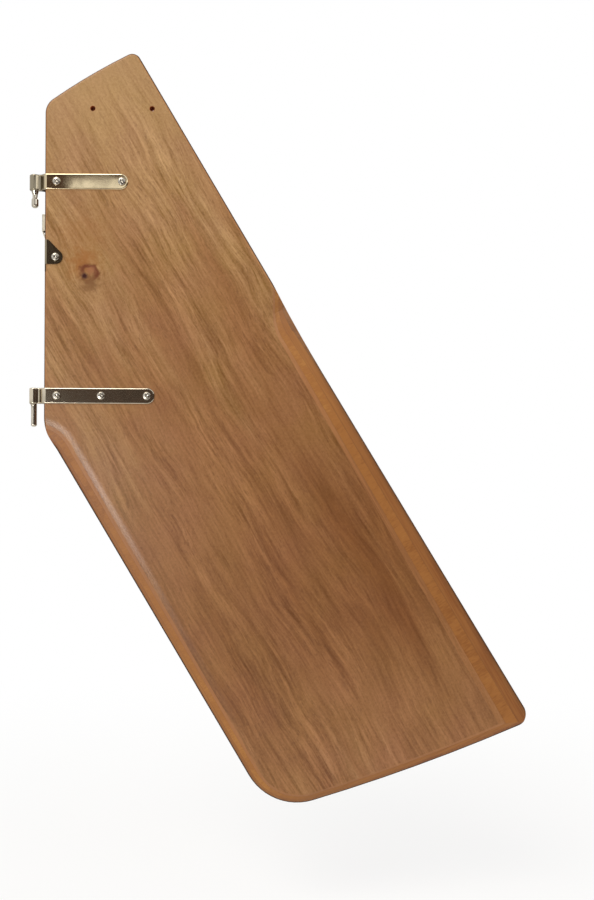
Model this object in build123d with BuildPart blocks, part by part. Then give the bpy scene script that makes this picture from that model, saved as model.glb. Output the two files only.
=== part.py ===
from build123d import *

import os
from math import asin, atan2, cos, hypot, radians, sin, tan

# Plywood rudder blade for a small sailing dinghy, with its two pintle straps and its retaining clip.
# Millimetres. +X points aft, +Y to starboard and +Z up. The blade stands in the XZ plane, half of its
# thickness on each side of Y = 0. The origin lies on the pintle axis, at the underside of the lower
# strap's barrel, which bears on the boat's lower gudgeon.

# Plies, from port to starboard
face_veneer = 1.0
inner_ply = 1.85
ply_stack = [
    ("face_veneer_port", face_veneer),
    ("cross_ply_port", inner_ply),
    ("long_ply_port", inner_ply),
    ("inner_cross_ply_port", inner_ply),
    ("core_ply", inner_ply),
    ("inner_cross_ply_starboard", inner_ply),
    ("long_ply_starboard", inner_ply),
    ("cross_ply_starboard", inner_ply),
    ("face_veneer_starboard", face_veneer),
]
thickness = sum(ply for name, ply in ply_stack)

# Blade outline. Along runs down the raked leading edge from the bend, and across runs aft from it.
front_x = 11.2                  # pintle axis to the front edge of the head
bend_z = -25.5                  # height at which the front edge turns into the raked leading edge
rake = radians(30.8)            # leading edge, from straight down
chord = 271.0                   # leading edge to trailing edge
head_length = 279.0             # bend to the squared top of the head
lead_length = 446.4             # bend to the forward bottom corner
tip_rake = radians(10.9)        # bottom edge, from square to the leading edge
step_start = -8.7               # along: the trailing edge starts to step in here
step_length = 97.0
step_depth = 2.3
trail_flare = radians(0.59)     # below the step the trailing edge runs slightly outwards
head_crown = 2.3
tip_crown = 4.9
head_front_round = 17.0
head_top_round = 9.0
step_round = 120.0
tip_aft_round = 14.0
tip_front_round = 56.0
bend_round = 43.0
edge_round = 2.5                # rounding of the long edges of both faces

# Shaped margins: a bevel from each face down to a rounded edge
nose_width = 15.5               # leading edge, below the run-out of the nose
nose_tip_width = 12.5           # leading edge at the forward bottom corner
tip_width = 9.0                 # bottom edge, forward end
tip_aft_width = 11.0            # bottom edge, aft end
nose_round = 4.0
nose_flat = 0.4                 # strip of the square edge that the rounding leaves
run_out_along = 25.0            # the nose's bevel leaves the blade on an arc about this place
run_out_radius = 24.2           # from the arc's centre to the leading edge
trail_width = 21.0              # trailing bevel at its upper end
trail_aft_width = 31.0          # trailing bevel at the bottom edge
trail_run_in = 38.0             # length over which the trailing bevel would come in as a straight wedge
trail_turn = 12.0               # its inner boundary turns parallel to the edge this far before and after
trail_turn_sections = 4
trail_round = 1.5
trail_round_start = 0.3         # the trailing edge's rounding grows from here to the end of the step
trail_flat = 2.6
waste = 12.0                    # how far the removed wood is drawn beyond the blade

# Holes for the tiller's two bolts
tiller_hole_d = 5.0
tiller_hole_z = 294.8
tiller_hole_x = 58.8            # forward hole
tiller_hole_pitch = 59.2

# Fasteners: through screws with self-locking nuts
screw_d = 4.0
screw_hole_gap = 0.15           # radial, in the plies and the sheet metal
head_d = 8.0
head_height = 2.6
head_side = 0.9                 # straight part of the head's side
head_crown_d = 5.8              # flat-domed top, inside the head's rounded shoulder
head_crown_rise = 0.35
screw_past_nut = 0.8
screw_end_chamfer = 0.4
nut_flats = 7.0
nut_hex_height = 3.2
nut_height = 5.0
nut_collar_d = 6.5
nut_collar_chamfer = 0.5
nut_bore_gap = 0.05             # radial, nut and ring to screw
insert_d = 5.4
insert_height = 1.3
insert_gap = 0.02
insert_lip = 0.3                # metal rolled over the ring

# Pintle straps: sheet wrapped round the pin, with one arm along each face of the blade
sheet = 1.5
strap_height = 16.0
strap_standoff = 0.3            # bend of the sheet to the rounded front edge
neck_angle = radians(45.0)      # from the barrel out to the shoulder
barrel_fillet = 2.0
arm_tip_round = 7.5
strap_edge_round = 1.3
pin_gap = 0.1                   # radial, pin to barrel
lower_strap_z = 0.0
lower_strap_tip_x = 122.0
lower_screw_x = [24.4, 68.7, 114.5]
upper_strap_z = 213.7
upper_strap_tip_x = 94.5
upper_screw_x = [23.4, 88.4]

# Pins
pin_chamfer = 0.5
pin_recess = 0.5                # pin's top end, below the barrel's
lower_shank_d = 6.4             # inside the barrel
lower_pin_d = 6.0               # below it
lower_pin_below = 23.0
lower_pin_tip_round = 2.3
upper_shank_d = 7.8             # inside the barrel
upper_cone = 4.0                # cone under the barrel, down to the waist
waist_d = 5.3
waist_length = 3.0
bulb_rise = 1.5                 # cone from the waist out to the bulb
bulb_d = 7.2
bulb_length = 5.5
bulb_tip = 3.2

# Retaining clip, and the sprung tongue above it
clip_sheet = 0.9
clip_bend = 1.6                 # inside of the bend round the front edge
clip_bottom_z = 132.0
clip_top_z = 163.6
cheek_bottom_z = 139.3
cheek_round = 7.0
cheek_corner_x = 15.2           # front of the cheek's sloping edge, at the top of the clip
clip_screw_x = 22.5
clip_fit_gap = 0.1              # sheet to the rebate's end
tongue_gap = 0.3                # clip to the tongue's root
tongue_proud = 3.3              # the tongue stands this far in front of the blade
neck_width = 8.0
neck_rise = 8.5                 # from the root up to the channel
tongue_width = 10.0
tongue_length = 16.6
tongue_depth = 4.2              # front of the tongue to the edge of its flanges
tongue_bend = 0.6                # inside of the channel's bends
tongue_corner = 1.6
tongue_swing = 8.0              # degrees, pressed in
groove_side_gap = 0.5
groove_back_gap = 0.5

half = thickness / 2
strap_face = half + sheet
clip_face = half + clip_sheet
shank_hole_d = screw_d + 2 * screw_hole_gap
clip_screw_z = cheek_bottom_z + cheek_round
swing_z = clip_top_z + tongue_gap + clip_sheet / 2
tongue_bottom_z = swing_z + neck_rise
tongue_top_z = tongue_bottom_z + tongue_length
swing_travel = (tongue_top_z - swing_z) * sin(radians(tongue_swing))
groove_depth = tongue_depth - tongue_proud + swing_travel + groove_back_gap
groove_width = tongue_width + 2 * groove_side_gap
lower_screws = [(x, lower_strap_z + strap_height / 2) for x in lower_screw_x]
upper_screws = [(x, upper_strap_z + strap_height / 2) for x in upper_screw_x]
clip_screws = [(clip_screw_x, clip_screw_z)]
tiller_holes = [(tiller_hole_x, tiller_hole_z), (tiller_hole_x + tiller_hole_pitch, tiller_hole_z)]


def blade_point(along, across):
    """Place on the blade's mid-plane, as (x, z), from distances along and across the rake."""
    x = front_x + along * sin(rake) + across * cos(rake)
    z = bend_z - along * cos(rake) + across * sin(rake)
    return (x, z)


def in_space(point, y=0.0):
    """Point of the model for an (x, z) place of the blade."""
    return Vector(point[0], y, point[1])


# Corners of the outline before they are rounded
step_end_along = step_start + step_length
trail_across = chord - step_depth
tip_along = (lead_length + trail_across * tan(tip_rake)) / (1 - tan(trail_flare) * tan(tip_rake))
tip_across = trail_across + (tip_along - step_end_along) * tan(trail_flare)
bend = (front_x, bend_z)
head_front = (front_x, bend_z + head_length / cos(rake))
head_top = blade_point(-head_length, chord)
step_top = blade_point(step_start, chord)
step_end = blade_point(step_end_along, trail_across)
tip_aft = blade_point(tip_along, tip_across)
tip_front = blade_point(lead_length, 0)

with BuildSketch(Plane.XZ.offset(-half)) as outline:
    with BuildLine():
        Line(bend, head_front)
        SagittaArc(head_front, head_top, head_crown)
        Line(head_top, step_top)
        lower_trail = Line(step_end, tip_aft)
        TangentArc(step_end, step_top, tangent=-(lower_trail % 0))
        SagittaArc(tip_aft, tip_front, tip_crown)
        Line(tip_front, bend)
    make_face()
    for corner, radius in (
        (head_front, head_front_round),
        (head_top, head_top_round),
        (step_top, step_round),
        (tip_aft, tip_aft_round),
        (tip_front, tip_front_round),
        (bend, bend_round),
    ):
        fillet(outline.vertices().sort_by_distance(corner)[0], radius)

middle_outline = Pos(0, -half, 0) * outline.sketch
tip_middle = blade_point((lead_length + tip_along) / 2, tip_across / 2)
blade_middle = middle_outline.center()


def outline_edge(place):
    """Edge of the outline nearest a place of the blade, running aft."""
    edge = middle_outline.edges().sort_by_distance(in_space(place))[0]
    return edge if (edge @ 0).X < (edge @ 1).X else edge.reversed(reconstruct=True)


def edge_plane(origin, run):
    """Plane across an edge of the blade: its x axis points into the blade, square to the run."""
    inward = run.cross(Vector(0, 1, 0))
    if inward.dot(blade_middle - origin) < 0:
        inward = -inward
    return Plane(origin=origin, x_dir=inward, z_dir=run)


def waste_section(plane, width, rounding, flat, side):
    """Wood taken off one face at an edge: a bevel that ends in a rounding, above a flat on the edge."""
    upward = side * plane.y_dir.Y
    across = half - flat / 2
    slope_line = hypot(width - rounding, across)
    bevel = atan2(across, width - rounding) - asin(rounding / slope_line)
    edge_end = (0, upward * flat / 2)
    crest = (rounding - rounding * sin(bevel), upward * (flat / 2 + rounding * cos(bevel)))
    with BuildSketch(plane) as section:
        with BuildLine():
            if rounding > 0:
                TangentArc(edge_end, crest, tangent=(0, upward))
            Polyline(
                crest,
                (width, upward * half),
                (width, upward * (half + waste)),
                (-waste, upward * (half + waste)),
                (-waste, upward * flat / 2),
                edge_end,
            )
        make_face()
    return section.sketch


def nose_section(origin, run, width, side):
    """Waste section of the leading and bottom edges."""
    return waste_section(edge_plane(origin, run), width, nose_round, nose_flat, side)


def trail_section(along, edge_across, width, rounding, side):
    """Waste section of the trailing bevel."""
    origin = in_space(blade_point(along, edge_across))
    return waste_section(edge_plane(origin, trail_run), width, rounding, trail_flat, side)


def step_across(along):
    """Place of the trailing edge on the arc of its step, across the rake."""
    above_end = step_end_along - along
    arc_rise = step_depth + step_length * tan(trail_flare)
    return trail_across - above_end * tan(trail_flare) + arc_rise * (above_end / step_length) ** 2


def run_in_width(along):
    """Width of the trailing bevel where its inner boundary turns, on a parabola, parallel to the edge."""
    turn_left = step_start + trail_run_in + trail_turn - along
    return trail_width - trail_width / trail_run_in * turn_left ** 2 / (4 * trail_turn)


def clip_core(plane):
    """Front edge as the clip's sheet fits it, seen from above: narrower than the blade's own rounding."""
    with BuildSketch(plane) as core:
        with Locations((front_x + clip_sheet, 0)):
            Rectangle(chord, thickness, align=(Align.MIN, Align.CENTER))
        fillet(core.vertices().group_by(Axis.X)[0], clip_bend)
    return core.sketch


lead_run = in_space(tip_front) - in_space(bend)
trail_run = in_space(tip_aft) - in_space(step_end)
run_out_place = in_space(blade_point(run_out_along, 0))
run_out_axis = Axis(in_space(blade_point(run_out_along, -run_out_radius)), (0, 1, 0))
corner_edge = outline_edge(tip_front)
tip_edge = outline_edge(tip_middle)
turn_start = step_start + trail_run_in - trail_turn
turn_step = 2 * trail_turn / (trail_turn_sections - 1)
turn_alongs = [turn_start + i * turn_step for i in range(trail_turn_sections)]
turn_places = [(along, step_across(along), run_in_width(along)) for along in turn_alongs]

# The whole blade before it is taken as plies
with BuildPart() as blade_form:
    extrude(outline.sketch, amount=thickness)
    face_edges = blade_form.faces().filter_by(Axis.Y).edges()
    fillet(face_edges, edge_round)
    for side in (-1, 1):
        # nose along the leading edge, with its round run-out at the bend
        nose_top = nose_section(run_out_place, lead_run, nose_width, side)
        nose_end = nose_section(corner_edge @ 0, lead_run, nose_tip_width, side)
        loft([nose_top, nose_end], ruled=True, mode=Mode.SUBTRACT)
        revolve(nose_top, axis=run_out_axis, mode=Mode.SUBTRACT)
        # round the forward bottom corner and along the bottom edge
        tip_top = nose_section(tip_edge @ 0, tip_edge % 0, tip_width, side)
        tip_end = nose_section(tip_edge @ 1, tip_edge % 1, tip_aft_width, side)
        sweep([nose_end, tip_top], path=corner_edge, multisection=True, mode=Mode.SUBTRACT)
        sweep([tip_top, tip_end], path=tip_edge, multisection=True, mode=Mode.SUBTRACT)
        extrude(tip_end, amount=tip_aft_round + waste, dir=tip_edge % 1, mode=Mode.SUBTRACT)
        # trailing bevel, from nothing at the step to its full width at the bottom edge
        bevel_tip = Vertex(*in_space(step_top, side * half))
        bevel_turn = [trail_section(*place, 0, side) for place in turn_places]
        bevel_start = trail_section(*turn_places[-1], trail_round_start, side)
        bevel_top = trail_section(step_end_along, trail_across, trail_width, trail_round, side)
        bevel_end = trail_section(tip_along, tip_across, trail_aft_width, trail_round, side)
        loft([bevel_tip, *bevel_turn], ruled=True, mode=Mode.SUBTRACT)
        loft([bevel_start, bevel_top, bevel_end], ruled=True, mode=Mode.SUBTRACT)
        extrude(bevel_end, amount=waste, dir=trail_run, mode=Mode.SUBTRACT)
    # holes for the tiller's bolts and for the screws
    with BuildSketch(Plane.XZ.offset(-half)):
        with Locations(*tiller_holes):
            Circle(tiller_hole_d / 2)
        with Locations(*lower_screws, *upper_screws, *clip_screws):
            Circle(shank_hole_d / 2)
    extrude(amount=thickness, mode=Mode.SUBTRACT)
    # groove that the tongue is pressed into
    with BuildSketch(Plane.YZ.offset(front_x - waste)):
        with Locations((0, (clip_top_z + tongue_top_z) / 2)):
            SlotCenterToCenter(tongue_top_z - clip_top_z, groove_width, rotation=90)
    extrude(amount=waste + groove_depth, mode=Mode.SUBTRACT)
    # rebate that lets the clip's sheet in flush with the front edge
    rebate_plane = Plane.XY.offset(clip_bottom_z - clip_fit_gap)
    with BuildSketch(rebate_plane):
        with Locations((front_x + edge_round, 0)):
            Rectangle(edge_round + waste, thickness + 2 * waste, align=(Align.MAX, Align.CENTER))
        add(clip_core(rebate_plane), mode=Mode.SUBTRACT)
    extrude(amount=clip_top_z - clip_bottom_z + 2 * clip_fit_gap, mode=Mode.SUBTRACT)

os.makedirs("parts", exist_ok=True)

# Plies, sawn out of the blade's form one behind the other
ply_sheet = 2 * (head_length + lead_length)
ply_face = -half
for ply_name, ply_thickness in ply_stack:
    with BuildPart() as ply:
        add(blade_form.part)
        with BuildSketch(Plane.XZ.offset(-ply_face)):
            Rectangle(ply_sheet, ply_sheet)
        extrude(amount=-ply_thickness, mode=Mode.INTERSECT)
    ply.part.label = ply_name
    export_step(ply.part, f"parts/{ply_name}.step")
    ply_face += ply_thickness


def folded_area(surface_round, tip_x):
    """Area inside a surface folded round the front edge, seen from above."""
    bend_x = front_x + edge_round - strap_standoff
    bend_y = half - edge_round
    neck_end = (bend_x - surface_round * sin(neck_angle), bend_y + surface_round * cos(neck_angle))
    apex = (neck_end[0] - neck_end[1] / tan(neck_angle), 0)
    shoulder = (bend_x, bend_y + surface_round)
    with BuildSketch() as area:
        with BuildLine():
            Line(apex, neck_end)
            TangentArc(neck_end, shoulder, tangent=(cos(neck_angle), sin(neck_angle)))
            Polyline(shoulder, (tip_x, shoulder[1]), (tip_x, 0))
            mirror(about=Plane.XZ)
        make_face()
    return area.sketch


def pintle_strap(base_z, tip_x, pin_d, screws):
    """Sheet wrapped round a pin, with an arm along each face of the blade."""
    bore = pin_d / 2 + pin_gap
    base = Plane.XY.offset(base_z)
    with BuildPart() as strap:
        with BuildSketch(base) as plan:
            add(folded_area(edge_round + sheet, tip_x))
            Circle(bore + sheet)
            fillet(plan.vertices().sort_by_distance((0, 0))[:2], barrel_fillet)
        extrude(amount=strap_height)
        arm_ends = strap.edges().filter_by(Axis.Y).group_by(Axis.X)[-1]
        fillet(arm_ends, arm_tip_round)
        creases = strap.edges().filter_by(Axis.Z).filter_by_position(Axis.X, -chord, tip_x - sheet)
        long_edges = strap.edges().filter_by(Axis.Y, reverse=True) - creases
        fillet(long_edges, strap_edge_round)
        with BuildSketch(base):
            add(folded_area(edge_round, tip_x))
            Circle(bore)
        extrude(amount=strap_height, mode=Mode.SUBTRACT)
        with BuildSketch(Plane.XZ.offset(-strap_face)):
            with Locations(*screws):
                Circle(shank_hole_d / 2)
        extrude(amount=2 * strap_face, mode=Mode.SUBTRACT)
    return strap


lower_strap = pintle_strap(lower_strap_z, lower_strap_tip_x, lower_shank_d, lower_screws)
lower_strap.part.label = "lower_strap"
export_step(lower_strap.part, "parts/lower_strap.step")

upper_strap = pintle_strap(upper_strap_z, upper_strap_tip_x, upper_shank_d, upper_screws)
upper_strap.part.label = "upper_strap"
export_step(upper_strap.part, "parts/upper_strap.step")

# Lower pin: plain, with a rounded end, and a slightly thicker shank in the barrel
lower_pin_r = lower_pin_d / 2
lower_shank_r = lower_shank_d / 2
lower_pin_top = lower_strap_z + strap_height - pin_recess
lower_pin_end = lower_strap_z - lower_pin_below
with BuildPart() as lower_pin:
    with BuildSketch(Plane.XZ):
        with BuildLine():
            Polyline(
                (0, lower_pin_end),
                (0, lower_pin_top),
                (lower_shank_r - pin_chamfer, lower_pin_top),
                (lower_shank_r, lower_pin_top - pin_chamfer),
                (lower_shank_r, lower_strap_z),
                (lower_pin_r, lower_strap_z),
                (lower_pin_r, lower_pin_end + lower_pin_tip_round),
            )
            TangentArc(
                (lower_pin_r, lower_pin_end + lower_pin_tip_round),
                (lower_pin_r - lower_pin_tip_round, lower_pin_end),
                tangent=(0, -1),
            )
            Line((lower_pin_r - lower_pin_tip_round, lower_pin_end), (0, lower_pin_end))
        make_face()
    revolve(axis=Axis.Z)
lower_pin.part.label = "lower_pin"
export_step(lower_pin.part, "parts/lower_pin.step")

# Upper pin: turned down to a waist under its barrel, with a bulb below that the gudgeon rides on
upper_shank_r = upper_shank_d / 2
upper_pin_top = upper_strap_z + strap_height - pin_recess
waist_top = upper_strap_z - upper_cone
waist_bottom = waist_top - waist_length
bulb_top = waist_bottom - bulb_rise
bulb_bottom = bulb_top - bulb_length
bulb_end = bulb_bottom - bulb_tip
with BuildPart() as upper_pin:
    with BuildSketch(Plane.XZ):
        with BuildLine():
            Polyline(
                (0, bulb_end),
                (0, upper_pin_top),
                (upper_shank_r - pin_chamfer, upper_pin_top),
                (upper_shank_r, upper_pin_top - pin_chamfer),
                (upper_shank_r, upper_strap_z),
                (waist_d / 2, waist_top),
                (waist_d / 2, waist_bottom),
                (bulb_d / 2, bulb_top),
                (bulb_d / 2, bulb_bottom),
            )
            TangentArc(
                (bulb_d / 2, bulb_bottom),
                (bulb_d / 2 - bulb_tip, bulb_end),
                tangent=(0, -1),
            )
            Line((bulb_d / 2 - bulb_tip, bulb_end), (0, bulb_end))
        make_face()
    revolve(axis=Axis.Z)
upper_pin.part.label = "upper_pin"
export_step(upper_pin.part, "parts/upper_pin.step")


def through_screws(places, seat):
    """Pan-head screws, heads to port. The seat is the sheet's outer face, from the mid-plane."""
    shank_r = screw_d / 2
    head_r = head_d / 2
    shank_end = seat + nut_height + screw_past_nut
    with BuildPart() as screws:
        for x, z in places:
            with BuildSketch(Plane.XY.offset(z)):
                with BuildLine():
                    crown_rim = (x + head_crown_d / 2, -seat - head_height + head_crown_rise)
                    crown = TangentArc((x, -seat - head_height), crown_rim, tangent=(1, 0))
                    TangentArc(crown_rim, (x + head_r, -seat - head_side), tangent=crown % 1)
                    Polyline(
                        (x + head_r, -seat - head_side),
                        (x + head_r, -seat),
                        (x + shank_r, -seat),
                        (x + shank_r, shank_end - screw_end_chamfer),
                        (x + shank_r - screw_end_chamfer, shank_end),
                        (x, shank_end),
                        (x, -seat - head_height),
                    )
                make_face()
            revolve(axis=Axis((x, 0, z), (0, 1, 0)))
    return screws


def lock_nuts(places, seat):
    """Hexagon nuts to starboard, each with a round collar that is bored out for its nylon ring."""
    seat_plane = Plane.XZ.offset(-seat)
    ring_plane = Plane.XZ.offset(-(seat + nut_height - insert_lip - insert_height))
    with BuildPart() as nuts:
        with BuildSketch(seat_plane):
            with Locations(*places):
                Circle(nut_collar_d / 2)
        extrude(amount=-nut_height)
        chamfer(nuts.faces().sort_by(Axis.Y)[-len(places):].edges(), nut_collar_chamfer)
        with BuildSketch(seat_plane):
            with Locations(*places):
                RegularPolygon(nut_flats / 2, 6, major_radius=False)
        extrude(amount=-nut_hex_height)
        with BuildSketch(seat_plane):
            with Locations(*places):
                Circle(screw_d / 2 + nut_bore_gap)
        extrude(amount=-nut_height, mode=Mode.SUBTRACT)
        with BuildSketch(ring_plane):
            with Locations(*places):
                Circle(insert_d / 2 + insert_gap)
        extrude(amount=-insert_height, mode=Mode.SUBTRACT)
    return nuts


def nut_inserts(places, seat):
    """Nylon rings that lie in the nuts' collars."""
    with BuildPart() as inserts:
        with BuildSketch(Plane.XZ.offset(-(seat + nut_height - insert_lip - insert_height))):
            with Locations(*places):
                Circle(insert_d / 2)
                Circle(screw_d / 2 + nut_bore_gap, mode=Mode.SUBTRACT)
        extrude(amount=-insert_height)
    return inserts


fastener_sets = [
    ("lower_strap_screws", "lower_strap_nuts", "lower_nut_inserts", lower_screws, strap_face),
    ("upper_strap_screws", "upper_strap_nuts", "upper_nut_inserts", upper_screws, strap_face),
    ("clip_screw", "clip_nut", "clip_nut_insert", clip_screws, clip_face),
]
for screw_name, nut_name, insert_name, places, seat in fastener_sets:
    screws = through_screws(places, seat)
    screws.part.label = screw_name
    export_step(screws.part, f"parts/{screw_name}.step")
    nuts = lock_nuts(places, seat)
    nuts.part.label = nut_name
    export_step(nuts.part, f"parts/{nut_name}.step")
    inserts = nut_inserts(places, seat)
    inserts.part.label = insert_name
    export_step(inserts.part, f"parts/{insert_name}.step")

# Retaining clip: a channel over the front edge, cut to a cheek about the screw on each face
clip_plane = Plane.XY.offset(clip_bottom_z)
with BuildPart() as retaining_clip:
    with BuildSketch(clip_plane):
        with Locations((front_x, 0)):
            Rectangle(chord, 2 * clip_face, align=(Align.MIN, Align.CENTER))
    extrude(amount=clip_top_z - clip_bottom_z)
    front_corners = retaining_clip.edges().filter_by(Axis.Z).group_by(Axis.X)[0]
    fillet(front_corners, clip_bend + clip_sheet)
    extrude(clip_core(clip_plane), amount=clip_top_z - clip_bottom_z, mode=Mode.SUBTRACT)
    with BuildSketch(Plane.XZ.offset(-clip_face)):
        with BuildLine():
            Polyline((front_x, cheek_bottom_z), (front_x, clip_top_z), (cheek_corner_x, clip_top_z))
            CenterArc((clip_screw_x, clip_screw_z), cheek_round, 0, 360)
        make_hull()
        with Locations((front_x, clip_bottom_z)):
            Rectangle(clip_sheet, clip_top_z - clip_bottom_z, align=(Align.MIN, Align.MIN))
        with Locations(*clip_screws):
            Circle(shank_hole_d / 2, mode=Mode.SUBTRACT)
    extrude(amount=2 * clip_face, mode=Mode.INTERSECT)
retaining_clip.part.label = "retaining_clip"
export_step(retaining_clip.part, "parts/retaining_clip.step")

# Tongue: a flexing neck that leans out from the clip, and a channel that stops the gudgeon
tongue_front = front_x - tongue_proud
with BuildPart() as clip_tongue:
    with BuildSketch(Plane.XY.offset(tongue_bottom_z)) as channel:
        with Locations((tongue_front, 0)):
            Rectangle(tongue_depth, tongue_width, align=(Align.MIN, Align.CENTER))
        fillet(channel.vertices().group_by(Axis.X)[0], tongue_bend + clip_sheet)
        with BuildSketch(mode=Mode.SUBTRACT) as hollow:
            with Locations((tongue_front + clip_sheet, 0)):
                Rectangle(tongue_depth, tongue_width - 2 * clip_sheet, align=(Align.MIN, Align.CENTER))
            fillet(hollow.vertices().group_by(Axis.X)[0], tongue_bend)
    extrude(amount=tongue_length)
    top_corners = clip_tongue.edges().filter_by(Axis.Y).group_by(Axis.Z)[-1].group_by(Axis.X)[-1]
    fillet(top_corners, tongue_corner)
    with BuildSketch(Plane.XZ.offset(-neck_width / 2)):
        with BuildLine():
            Polyline(
                (front_x, swing_z),
                (tongue_front, tongue_bottom_z),
                (tongue_front + clip_sheet, tongue_bottom_z),
                (front_x + clip_sheet, swing_z),
                close=True,
            )
        make_face()
        with Locations((front_x + clip_sheet / 2, swing_z)):
            Circle(clip_sheet / 2)
    extrude(amount=neck_width)
clip_tongue.part.label = "clip_tongue"
export_step(clip_tongue.part, "parts/clip_tongue.step")
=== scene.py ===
"""Looks of a plywood dinghy rudder blade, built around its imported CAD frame.

The frame is +X aft, +Y to starboard and +Z up, with the origin on the pintle axis at the underside
of the lower strap's barrel. The camera looks at the port face, along +Y. The object's own sizes are
in millimetres, and the studio's in metres.
"""

from __future__ import annotations

import logging
import math
from dataclasses import dataclass
from enum import Enum
from typing import Any, Sequence

import bmesh
import bpy
import numpy as np
from bpy.types import Material, NodeSocket, NodeTree, Object
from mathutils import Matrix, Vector

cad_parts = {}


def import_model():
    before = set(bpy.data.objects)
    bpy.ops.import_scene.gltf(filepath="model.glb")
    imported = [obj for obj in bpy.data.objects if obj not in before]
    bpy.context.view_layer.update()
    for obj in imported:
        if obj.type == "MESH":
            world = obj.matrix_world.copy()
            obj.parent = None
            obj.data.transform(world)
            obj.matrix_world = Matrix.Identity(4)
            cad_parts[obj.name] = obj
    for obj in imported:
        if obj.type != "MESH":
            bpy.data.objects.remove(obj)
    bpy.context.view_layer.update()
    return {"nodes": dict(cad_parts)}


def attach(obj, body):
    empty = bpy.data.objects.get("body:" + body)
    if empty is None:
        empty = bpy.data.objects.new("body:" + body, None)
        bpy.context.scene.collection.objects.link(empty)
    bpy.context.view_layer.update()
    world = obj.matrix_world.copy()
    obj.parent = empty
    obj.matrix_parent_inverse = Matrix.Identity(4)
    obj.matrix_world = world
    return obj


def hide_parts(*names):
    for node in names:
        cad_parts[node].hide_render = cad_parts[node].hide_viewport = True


log = logging.getLogger("rudder_blade")

MM = 0.001
BODY = "rudder"

# The plies, as the CAD stacks them: a face veneer and three and a half inner plies to the mid-plane
FACE_VENEER = 1.0
INNER_PLY = 1.85
HALF = FACE_VENEER + 3.5 * INNER_PLY

# The blade's own directions: along runs down the raked leading edge from the bend of the front
# edge, and across runs aft from it
RAKE = math.radians(30.8)
BEND = (11.2, 0.0, -25.5)
ALONG = (math.sin(RAKE), 0.0, -math.cos(RAKE))
ACROSS = (math.cos(RAKE), 0.0, math.sin(RAKE))
BEND_ALONG = float(np.dot(BEND, ALONG))
BEND_ACROSS = float(np.dot(BEND, ACROSS))

# The nose's bevel, as the CAD has it: its width, and the arc on which it runs out at the bend
NOSE_WIDTH = 15.5
NOSE_TIP_WIDTH = 12.5
RUN_OUT_ALONG = 25.0
RUN_OUT_RADIUS = 24.2
LEAD_LENGTH = 446.4

TILLER_HOLES = ((58.8, 0.0, 294.8), (118.0, 0.0, 294.8))
TILLER_HOLE_R = 2.5

# Settings of a Map Range node that carries a value smoothly from one range to another
SMOOTH = {"interpolation_type": "SMOOTHSTEP"}

# A number, a vector or a colour, or the output socket that gives one
Value = Any
Triple = tuple[float, float, float]


class Side(Enum):
    """Side of the blade, as the names of the plies give it."""

    PORT = "port"
    STARBOARD = "starboard"


class Grain(Enum):
    """Way in which a ply's grain runs."""

    LONG = "along the blade"
    CROSS = "across the blade"


def colour(code: str) -> tuple[float, float, float, float]:
    """Turn an sRGB hex code into the linear colour that the shaders take.

    Args:
        code: six hex digits after a hash sign.
    Returns:
        Linear red, green, blue and an alpha of one.
    """
    values = [int(code[i : i + 2], 16) / 255 for i in (1, 3, 5)]
    linear = [v / 12.92 if v <= 0.04045 else ((v + 0.055) / 1.055) ** 2.4 for v in values]
    return (*linear, 1.0)


WHITE = colour("#ffffff")


def add(
    tree: NodeTree,
    kind: str,
    *values: Value,
    out: int | str = 0,
    named: dict[Any, Value] | None = None,
    **settings: Any,
) -> Any:
    """Add one shader node with its settings, its values and its links.

    Args:
        tree: node tree that gets the node.
        kind: Blender's name of the node's type, less the ShaderNode that it starts with, and its
            operation after a space, where it has one.
        values: what the first inputs take, in their order.
        out: name or number of the output that is wanted.
        named: what further inputs take, by name or number.
        settings: attributes of the node.
    Returns:
        The output socket, or None where the node has no outputs.
    """
    kind, _, operation = kind.partition(" ")
    made = tree.nodes.new("ShaderNode" + kind)
    if operation:
        made.operation = operation
    for name, value in settings.items():
        setattr(made, name, value)
    for socket, value in (*enumerate(values), *(named or {}).items()):
        if isinstance(value, NodeSocket):
            tree.links.new(value, made.inputs[socket])
        else:
            made.inputs[socket].default_value = value
    return made.outputs[out] if len(made.outputs) else None


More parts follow.
